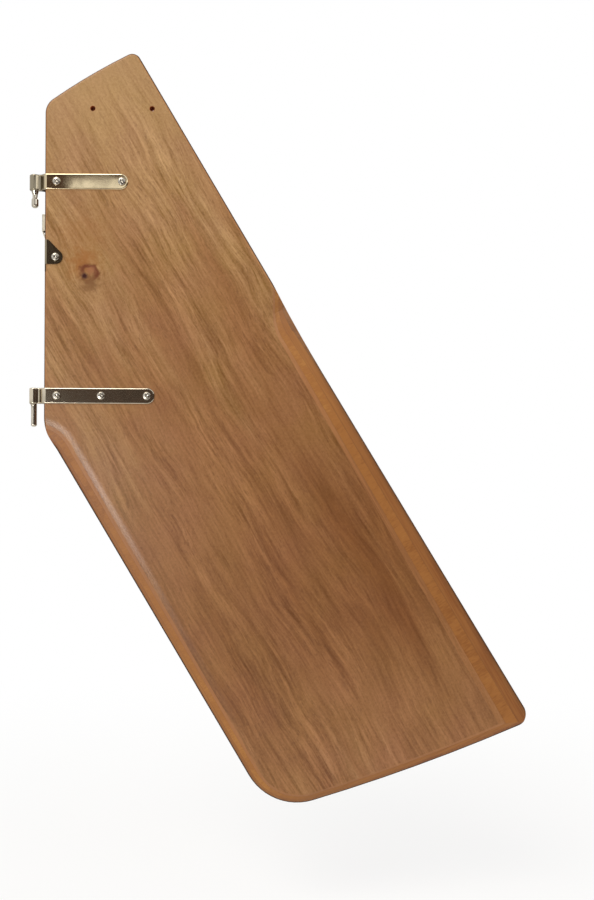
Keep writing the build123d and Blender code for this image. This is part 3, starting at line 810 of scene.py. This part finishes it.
@dataclass
class Fasteners:
    """Pan-head screws with a cross recess, and their self-locking nuts."""

    name: str
    places: tuple[tuple[float, float], ...]
    seat: float
    shank_r: float = 2.0
    head_r: float = 4.0
    head_height: float = 2.6
    head_side: float = 0.9
    crown_r: float = 2.9
    crown_rise: float = 0.35
    nut_flats: float = 7.0
    nut_hex_height: float = 3.2
    nut_height: float = 5.0
    collar_r: float = 3.25
    ring_r: float = 2.7
    ring_sunk: float = 0.3
    ring_seat: float = 1.6
    bore_r: float = 2.05
    past_nut: float = 0.8
    thread_length: float = 3.0
    pitch: float = 0.7
    thread_depth: float = 0.38
    recess_r: float = 2.35
    recess_half: float = 0.42
    recess_depth: float = 1.35
    recess_bowl: float = 0.45
    columns: int = 96

    def around(self) -> np.ndarray:
        """Angles of one ring's points, as a row."""
        return np.linspace(0, 2 * np.pi, self.columns, endpoint=False)[None, :]

    def place(self, radius: np.ndarray, y: np.ndarray, spot: tuple[float, float]) -> np.ndarray:
        """Turn rings of radii and heights into points about one screw's axis.

        Args:
            radius: rows by columns of radii.
            y: rows by columns of places along the axis.
            spot: the axis's X and Z.
        Returns:
            Rows by columns by three, in metres.
        """
        x = spot[0] + radius * np.cos(self.around())
        z = spot[1] + radius * np.sin(self.around())
        return np.stack([x, np.broadcast_to(y, x.shape), z], axis=-1) * MM

    def bar(self, u: np.ndarray, v: np.ndarray) -> np.ndarray:
        """One bar of the recess: one inside it, falling to nothing over its sloping walls."""
        wide = np.clip((self.recess_half + 0.22 - v) / 0.3, 0, 1)
        long = np.clip((self.recess_r - u) / 0.7, 0, 1)
        return wide * long

    def screw(self, spot: tuple[float, float], twist: float) -> np.ndarray:
        """One screw as a surface carried round its axis.

        The head is a flat dome with a quarter-round shoulder. The recess sinks it by a depth that
        falls off across two crossed bars, deepest in the middle. The thread's radius rises and
        falls once a pitch, along a helix.

        Args:
            spot: the axis's X and Z.
            twist: how far the recess is turned, in radians.
        Returns:
            The rings of points, from the middle of the head to the middle of the end.
        """
        turn = self.around()
        ring = np.ones_like(turn)
        shoulder_r = self.head_r - self.crown_r
        shoulder_sweep = np.linspace(0, np.pi / 2, 14)[1:]
        head_radius = np.concatenate(
            [np.linspace(0, self.crown_r, 40), self.crown_r + shoulder_r * np.sin(shoulder_sweep)]
        )
        dome = (np.minimum(head_radius, self.crown_r) / self.crown_r) ** 2
        shoulder = np.clip((head_radius - self.crown_r) / shoulder_r, 0, 1)
        shoulder_drop = self.head_height - self.crown_rise - self.head_side
        height = self.head_height - self.crown_rise * dome
        height = height - shoulder_drop * (1 - np.sqrt(1 - shoulder**2))
        u = np.abs(head_radius[:, None] * np.cos(turn - twist))
        v = np.abs(head_radius[:, None] * np.sin(turn - twist))
        bars = np.maximum(self.bar(u, v), self.bar(v, u))
        bowl = 1 - self.recess_bowl * np.clip(head_radius[:, None] / self.recess_r, 0, 1)
        head_y = -self.seat - height[:, None] + self.recess_depth * bars * bowl
        end = self.seat + self.nut_height + self.past_nut
        thread_start = end - self.thread_length
        rows_y = np.concatenate([np.linspace(thread_start, end - 0.35, 48), [end, end]])
        phase = rows_y[:, None] / self.pitch - turn / (2 * np.pi)
        groove = np.abs((phase % 1.0) - 0.5) * 2
        thread_r = self.shank_r - self.thread_depth * (1 - groove)
        # the last two rows close the end, on a ring of the thread's root and in its middle
        thread_r[-2] = self.shank_r - self.thread_depth
        thread_r[-1] = 0.0
        side_r = np.array([self.head_r, self.shank_r, self.shank_r])[:, None] * ring
        side_y = np.array([-self.seat, -self.seat, thread_start - 0.05])[:, None] * ring
        radius = np.concatenate([head_radius[:, None] * ring, side_r, thread_r])
        y = np.concatenate([head_y, side_y, rows_y[:, None] * ring])
        return self.place(radius, y, spot)

    def nut(self, spot: tuple[float, float], twist: float) -> np.ndarray:
        """One nut as rings from its seat up the outside and back down its bore.

        A ring's radius is the lesser of a hexagon, whose radius is half the flats over the cosine
        of the angle to the nearest flat, and of a limit that takes the corners off and makes the
        collar and the bore.

        Args:
            spot: the axis's X and Z.
            twist: how far the hexagon is turned, in radians.
        Returns:
            The rings of points. The first and the last ring are the same.
        """
        turn = self.around()
        nearest = (turn - twist + np.pi / 6) % (np.pi / 3) - np.pi / 6
        flat = self.nut_flats / 2
        hexagon = flat / np.cos(nearest)
        corner = flat / math.cos(math.pi / 6)
        top, collar = self.nut_hex_height, self.nut_height
        # ring: limit of the radius, height above the seat
        rings = [
            (self.bore_r, 0.0),
            (flat - 0.1, 0.0),
            (corner - 0.2, 0.25),
            (corner, 0.45),
            (corner, top - 0.55),
            (corner - 0.25, top - 0.32),
            (flat - 0.05, top - 0.08),
            (self.collar_r, top),
            (self.collar_r, collar - 0.6),
            (self.collar_r - 0.12, collar - 0.3),
            (self.collar_r - 0.4, collar - 0.05),
            (self.collar_r - 0.65, collar),
            (self.ring_r - 0.25, collar - 0.12),
            (self.ring_r - 0.25, collar - self.ring_sunk),
            (self.ring_r + 0.02, collar - self.ring_sunk),
            (self.ring_r + 0.02, collar - self.ring_seat),
            (self.bore_r, collar - self.ring_seat),
            (self.bore_r, 0.0),
        ]
        radius = np.concatenate([np.minimum(hexagon, limit) for limit, height in rings])
        heights = np.array([height for limit, height in rings])[:, None]
        return self.place(radius, self.seat + heights * np.ones_like(turn), spot)

    def build(self, nodes: dict[str, str], screw_steel: Material) -> None:
        """Make the screws and the nuts of one fitting in place of the plain CAD ones.

        Args:
            nodes: names of the CAD nodes of the screws and of the nuts.
            screw_steel: their finish.
        """
        rng = np.random.default_rng(len(self.places) * 7 + int(self.seat * 10))
        for part, shape in (("screws", self.screw), ("nuts", self.nut)):
            for number, spot in enumerate(self.places, start=1):
                points = shape(spot, rng.uniform(0, np.pi))
                made = surface(f"{self.name}_{part}_{number}", points, screw_steel, 35.0)
                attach(made, BODY)
                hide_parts(nodes[part])
        log.info("%s: %d screws and nuts", self.name, len(self.places))


@dataclass
class WeldBead:
    """Bead that joins the lower pin to the underside of its barrel, on the forward side."""

    name: str
    pin_r: float = 3.0
    barrel_r: float = 4.75
    drop: float = 3.0
    spread: float = math.radians(118)
    blunt_ends: float = 0.6
    into_pin: float = 0.05
    rows: int = 49
    columns: int = 9

    def build(self, steel: Material) -> None:
        """Make the bead.

        Its section is a hollow quarter round from the pin to the barrel's rim. Its size falls off
        as a power of the cosine of the angle from dead ahead, to nothing at both ends.

        Args:
            steel: finish of the bead.
        """
        angle = np.linspace(-1, 1, self.rows)[:, None]
        size = np.cos(angle * np.pi / 2) ** self.blunt_ends
        size[[0, -1]] = 0.0
        sweep = np.linspace(0, np.pi / 2, self.columns)[None, :]
        out = (self.barrel_r - self.pin_r) * size * (1 - np.sin(sweep))
        down = -self.drop * size * (1 - np.cos(sweep))
        out = np.concatenate([out, -self.into_pin * size], axis=1)
        down = np.concatenate([down, np.zeros_like(size)], axis=1)
        turn = np.pi + angle * self.spread
        radius = self.pin_r + out
        points = np.stack([radius * np.cos(turn), radius * np.sin(turn), down], axis=-1)
        bead = surface(self.name, points * MM, steel, 60.0)
        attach(bead, BODY)
        log.info("weld bead made")


@dataclass
class Fittings:
    """Straps, pins and clip, with their fasteners."""

    strap_sheet: float = 1.5
    clip_sheet: float = 0.9
    lower_screws: tuple[tuple[float, float], ...] = ((24.4, 8.0), (68.7, 8.0), (114.5, 8.0))
    upper_screws: tuple[tuple[float, float], ...] = ((23.4, 221.7), (88.4, 221.7))
    clip_screws: tuple[tuple[float, float], ...] = ((22.5, 146.3),)

    def dress_metal(self, nodes: dict[str, Object], pin_steel: Material) -> None:
        """Dress the straps, the pins, the clip and its tongue.

        Args:
            nodes: the frame's CAD nodes.
            pin_steel: finish of the pins.
        """
        # long polishing lines run along the straps, whose faces are near mirrors
        strap_marks = (30.0, 30.0, 1.2)
        # both straps are one steel; the upper's paler, creamier base is a painted reflection
        upper = SteelFinish(
            "Polished stainless sheet, upper", "#e4d1ab", 0.055, strap_marks, 0.0015, 0.02, 0.15,
            barrel="#7e7768",
        )
        lower = SteelFinish(
            "Polished stainless sheet, lower", "#cdc2ae", 0.12, strap_marks, 0.002, 0.04
        )
        # rolling marks run up the clip and its tongue, which is brushed and so duller; the clip's
        # darker base than the tongue's is a painted dark reflection
        rolled_marks = (1.5, 20.0, 20.0)
        clip = SteelFinish(
            "Rolled stainless spring sheet", "#8d816a", 0.13, rolled_marks, 0.002, 0.04
        )
        tongue = SteelFinish(
            "Brushed stainless spring sheet", "#cdc5b4", 0.42, rolled_marks, 0.004
        )
        dress(nodes["upper_strap"], upper.make())
        dress(nodes["lower_strap"], lower.make())
        dress(nodes["retaining_clip"], clip.make())
        dress(nodes["clip_tongue"], tongue.make())
        for name in ("upper_pin", "lower_pin"):
            dress(nodes[name], pin_steel)

    def build(self, nodes: dict[str, Object]) -> None:
        """Dress the CAD nodes, and make the detailed fasteners and the weld.

        Args:
            nodes: the frame's CAD nodes.
        """
        # turning leaves fine rings round the pins; the screws are bright, with no one way
        pin_steel = SteelFinish(
            "Turned stainless bar", "#c9c1b2", 0.16, (40.0, 40.0, 0.8), 0.001
        ).make()
        screw_steel = SteelFinish("Stainless screw", "#b3ada2", 0.24, (3.0, 3.0, 3.0), 0.004).make()
        self.dress_metal(nodes, pin_steel)
        nylon = NylonFinish().make()
        for name in ("upper_nut_inserts", "lower_nut_inserts", "clip_nut_insert"):
            dress(nodes[name], nylon)
        for name, places, sheet, ending in (
            ("lower_strap", self.lower_screws, self.strap_sheet, "s"),
            ("upper_strap", self.upper_screws, self.strap_sheet, "s"),
            ("clip", self.clip_screws, self.clip_sheet, ""),
        ):
            replaced = {"screws": f"{name}_screw{ending}", "nuts": f"{name}_nut{ending}"}
            Fasteners(name, places, HALF + sheet).build(replaced, screw_steel)
        WeldBead("lower_pin_weld").build(pin_steel)
        log.info("fittings dressed")


@dataclass
class Studio:
    """Pale floor, soft lamps, dark cards and the camera, in metres."""

    # What the camera sees at the blade, 594 by 900 pixels of one millimetre
    view_height: float = 0.900
    middle_x: float = 0.2643
    middle_z: float = -0.0450
    distance: float = 1.15
    near_face: float = 0.005
    roll: float = math.radians(-0.3)
    floor_z: float = -0.52
    floor_reach: float = 14.0
    world_light: float = 0.55

    def build(self) -> None:
        """Make the world, the floor, the cards, the lamps and the camera."""
        self.world()
        self.floor()
        self.cards()
        self.lamps()
        self.camera()
        log.info("studio ready")

    def world(self) -> None:
        """White behind the object and in its reflections, softer light on everything else."""
        world = bpy.data.worlds.new("Studio")
        bpy.context.scene.world = world
        world.use_nodes = True
        tree = world.node_tree
        tree.nodes.clear()
        seen = add(tree, "LightPath", out="Is Camera Ray")
        for ray in ("Is Transmission Ray", "Is Glossy Ray"):
            also = add(tree, "LightPath", out=ray)
            seen = add(tree, "Math MAXIMUM", seen, also)
        light = add(tree, "Background", WHITE, self.world_light)
        shown = add(tree, "Background", WHITE, 1.0)
        add(tree, "OutputWorld", add(tree, "MixShader", seen, light, shown))

    def sheet(
        self, name: str, corners: Sequence[Sequence[float]], material: Material
    ) -> Object:
        """Make a flat four-cornered stage sheet.

        Args:
            name: name of the object.
            corners: its four corners, in order.
            material: its finish.
        Returns:
            The object.
        """
        mesh = bpy.data.meshes.new(name)
        mesh.from_pydata([tuple(c) for c in corners], [], [(0, 1, 2, 3)])
        made = bpy.data.objects.new(name, mesh)
        bpy.context.scene.collection.objects.link(made)
        dress(made, material)
        return made

    def floor(self) -> None:
        """White floor that keeps the object's shadow near it and fades to white further off."""
        s = Shader("White floor")
        middle = (self.middle_x, 0.0, self.floor_z)
        source = s.add("TexCoord", out="Object")
        away = s.add("VectorMath DISTANCE", source, middle, out="Value")
        far = s.add("MapRange", away, 0.25, 1.3, 0.72, 1.0, **SMOOTH)
        share = s.add("Math MULTIPLY", s.add("LightPath", out="Is Camera Ray"), far)
        board = s.add("BsdfDiffuse", colour("#f6f5f3"))
        glow = s.add("Emission", WHITE, 1.0)
        s.add("OutputMaterial", s.add("MixShader", share, board, glow))
        z, reach = self.floor_z, self.floor_reach
        corners = ((-reach, -reach, z), (reach, -reach, z), (reach, reach, z), (-reach, reach, z))
        self.sheet("studio_floor", corners, s.material)

    def cards(self) -> None:
        """Dark cards at the camera and to the right of it, which only reflections show.

        The low card makes the flat faces of the lower fittings dark. The upright and the high card
        do the same for the forward end and the upper part of the upper strap, and the flag for the
        after edges.
        """
        s = Shader("Dark card")
        s.add("OutputMaterial", s.add("Emission", colour("#54473f"), 1.0))
        y = -self.distance - 0.05
        left, right, bottom, top, high = -0.31, 1.6, -1.6, 0.44, 0.62
        upright_right, high_right, high_bottom, flag_back = -0.2, 0.3, 0.503, 0.6
        for name, x0, x1, z0, z1 in (
            ("low_card", left, right, bottom, top),
            ("upright_card", left, upright_right, top, high),
            ("high_card", upright_right, high_right, high_bottom, high),
            ("side_flag", right, right, bottom, high),
        ):
            y1 = flag_back if x0 == x1 else y
            corners = ((x0, y, z0), (x1, y1, z0), (x1, y1, z1), (x0, y, z1))
            card = self.sheet(name, corners, s.material)
            card.visible_camera = False
            card.visible_diffuse = False
            card.visible_shadow = False

    def lamp(
        self,
        name: str,
        place: Sequence[float],
        target: Sequence[float],
        size: float,
        energy: float,
        tint: str = "#ffffff",
    ) -> Object:
        """Hang a square soft lamp.

        Args:
            name: name of the lamp.
            place: where it hangs.
            target: what it points at.
            size: length of its sides.
            energy: its power in watts.
            tint: its colour.
        Returns:
            The lamp.
        """
        data = bpy.data.lights.new(name, "AREA")
        data.shape = "SQUARE"
        data.size = size
        data.energy = energy
        data.color = colour(tint)[:3]
        made = bpy.data.objects.new(name, data)
        made.location = place
        made.visible_camera = False
        made.rotation_euler = (Vector(target) - Vector(place)).to_track_quat("-Z", "Y").to_euler()
        bpy.context.scene.collection.objects.link(made)
        return made

    def lamps(self) -> None:
        """Soft light from above and in front, weaker from the right and from behind.

        The low lamp only draws the gloss on the crest of the nose; it gives no light of its own.
        """
        middle = (self.middle_x, 0.0, self.middle_z)
        self.lamp("key_lamp", (-0.9, -2.2, 2.3), middle, 1.6, 51.0, "#fff9ef")
        self.lamp("fill_lamp", (2.4, -2.0, 0.4), middle, 1.6, 14.0)
        self.lamp("back_lamp", (0.6, 2.4, 1.6), middle, 1.6, 26.0)
        low = self.lamp("low_lamp", (-0.33, -0.95, -0.24), (0.07, 0.0, -0.07), 0.25, 3.0)
        low.visible_diffuse = False

    def camera(self) -> None:
        """Long lens straight at the port face, turned by the photograph's slight roll."""
        data = bpy.data.cameras.new("photo_camera")
        data.sensor_width = 36.0
        data.lens = self.distance * data.sensor_width / self.view_height
        data.clip_end = 60.0
        made = bpy.data.objects.new("photo_camera", data)
        made.location = (self.middle_x, -self.distance - self.near_face, self.middle_z)
        made.rotation_euler = (math.pi / 2, self.roll, 0.0)
        bpy.context.scene.collection.objects.link(made)
        bpy.context.scene.camera = made


def main() -> None:
    """Build the looks in order."""
    logging.basicConfig(level=logging.INFO, format="%(name)s: %(message)s")
    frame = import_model()
    bpy.context.scene.view_settings.view_transform = "Standard"
    Blade().build(frame["nodes"])
    Fittings().build(frame["nodes"])
    Studio().build()


if __name__ == "__main__":
    main()
